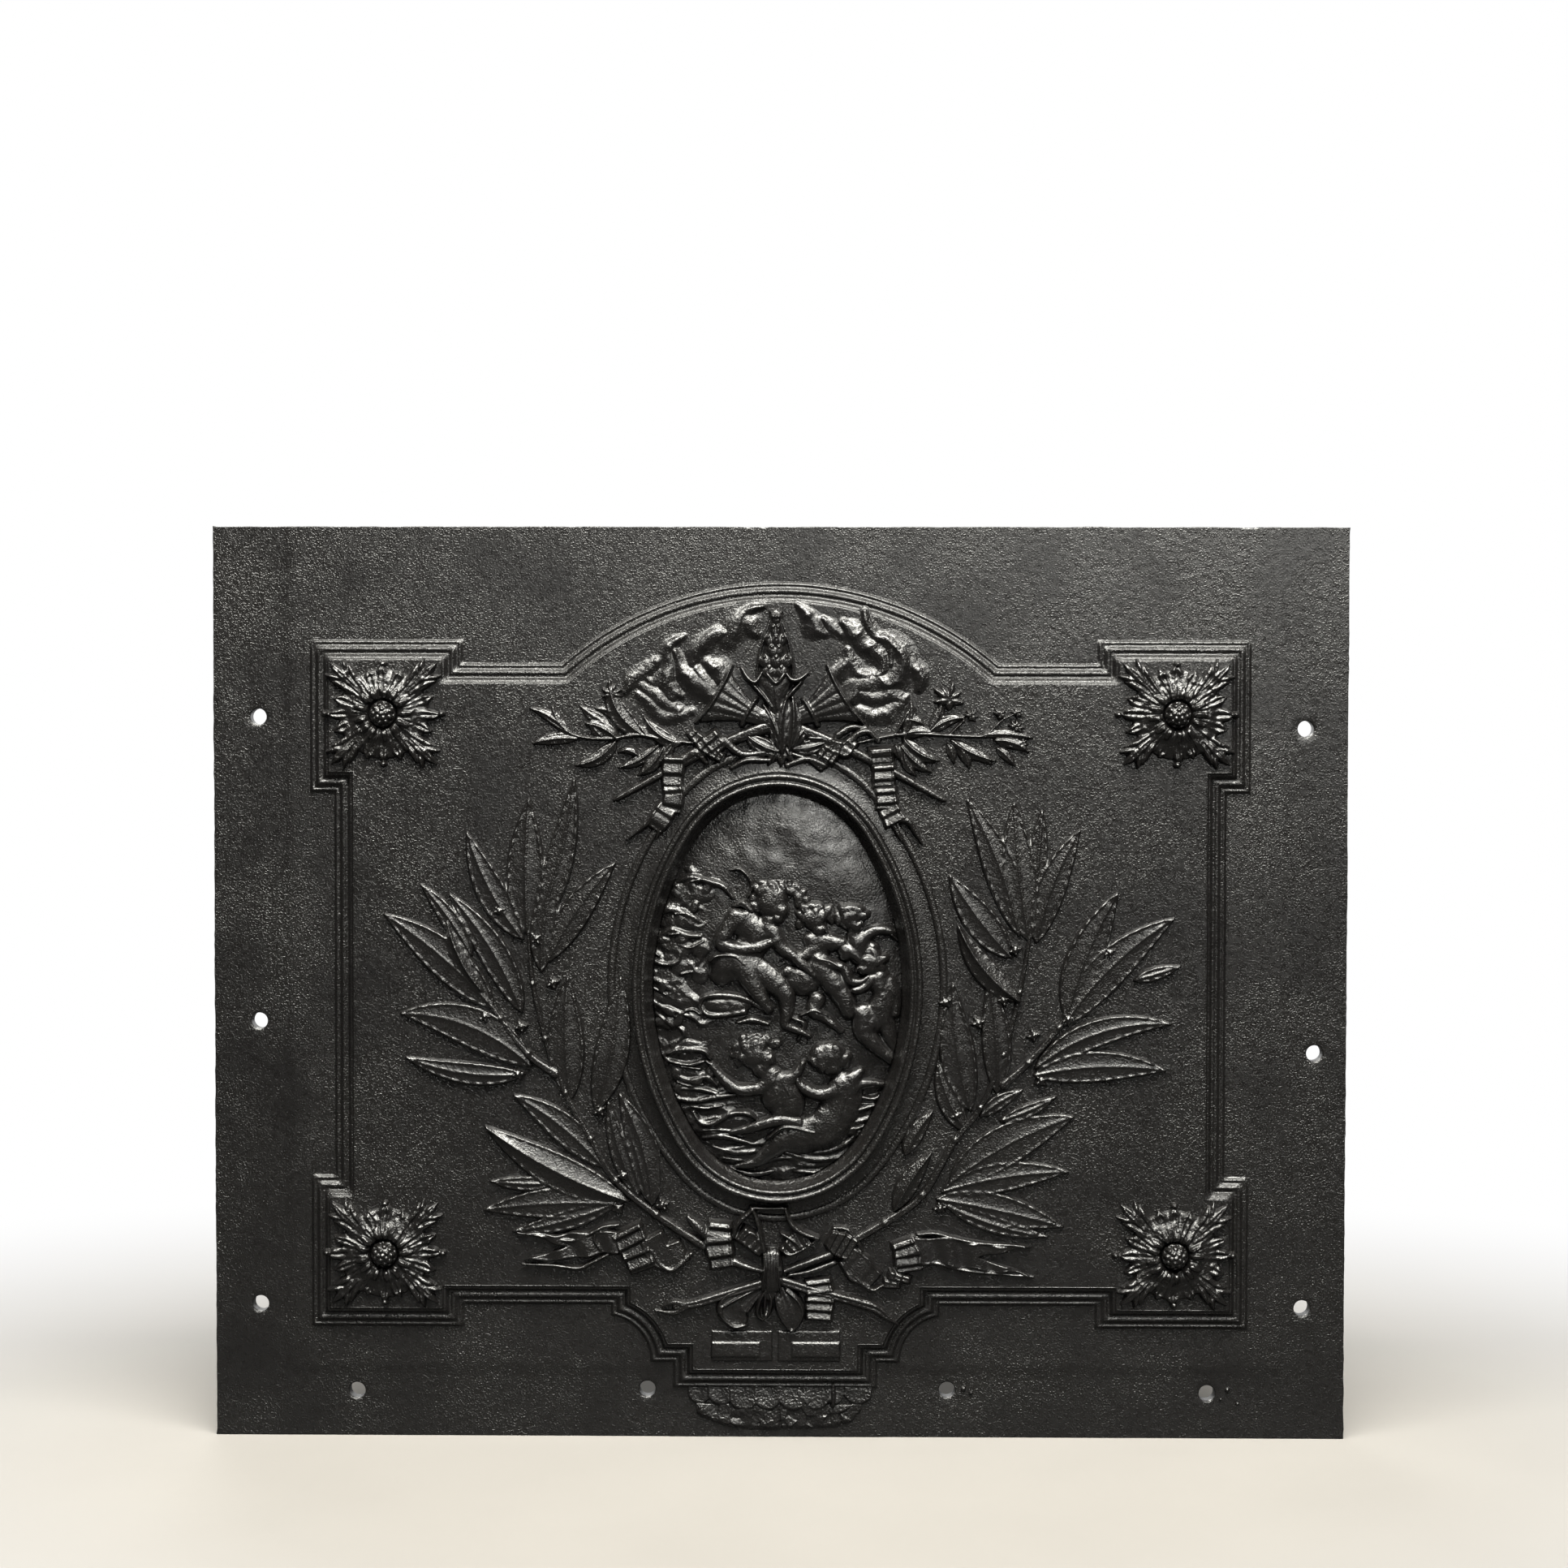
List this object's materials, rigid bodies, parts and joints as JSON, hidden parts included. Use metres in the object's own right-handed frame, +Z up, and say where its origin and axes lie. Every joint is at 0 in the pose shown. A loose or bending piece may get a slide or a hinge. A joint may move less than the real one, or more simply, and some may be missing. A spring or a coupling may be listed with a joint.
{
  "type": "cast iron fireback",
  "caption": "Flat cast iron hearth plate with a raised moulded panel, oval figure medallion, laurel branches, corner rosettes, ribbon bow and screw holes round its border.",
  "frame": {"origin": "middle of the bottom edge: centre of the width and of the full depth, at the foot", "axes": "+X to the right as seen from the front, +Y from the relief towards the wall behind, +Z up"},
  "size_m": [0.9, 0.0384, 0.725],
  "materials": {
    "cast_iron": "blackened as-cast iron, semi-gloss"
  },
  "bodies": {
    "root": {"base_plate": "cast_iron", "raised_panel": "cast_iron", "panel_moulding": "cast_iron", "pedestal_tablet_left": "cast_iron", "pedestal_tablet_right": "cast_iron", "medallion_bead": "cast_iron", "medallion_hollow": "cast_iron", "medallion_ring": "cast_iron", "medallion_field": "cast_iron", "medallion_clouds": "cast_iron", "medallion_waves": "cast_iron", "putto_seated": "cast_iron", "putto_reclining": "cast_iron", "putto_behind": "cast_iron", "putto_striding": "cast_iron", "swimmer_left": "cast_iron", "swimmer_right": "cast_iron", "rosette_top_left": "cast_iron", "rosette_top_right": "cast_iron", "rosette_bottom_left": "cast_iron", "rosette_bottom_right": "cast_iron", "rosette_boss_top_left": "cast_iron", "rosette_boss_top_right": "cast_iron", "rosette_boss_bottom_left": "cast_iron", "rosette_boss_bottom_right": "cast_iron", "laurel_stem_left": "cast_iron", "laurel_stem_right": "cast_iron", "laurel_leaves_left": "cast_iron", "laurel_leaves_right": "cast_iron", "laurel_berries_left": "cast_iron", "laurel_berries_right": "cast_iron", "torch_left": "cast_iron", "torch_right": "cast_iron", "flame_left": "cast_iron", "flame_right": "cast_iron", "pine_cone": "cast_iron", "cone_calyx": "cast_iron", "crest_leaves": "cast_iron", "spray_left": "cast_iron", "spray_right": "cast_iron", "ribbon_top_left": "cast_iron", "ribbon_top_right": "cast_iron", "bow_knot": "cast_iron", "bow_loops": "cast_iron", "bow_drops": "cast_iron", "ribbon_bottom_left": "cast_iron", "ribbon_bottom_right": "cast_iron", "stem_end_left": "cast_iron", "stem_end_right": "cast_iron", "broken_boss": "cast_iron", "casting_pips": "cast_iron"}
  },
  "joints": []
}
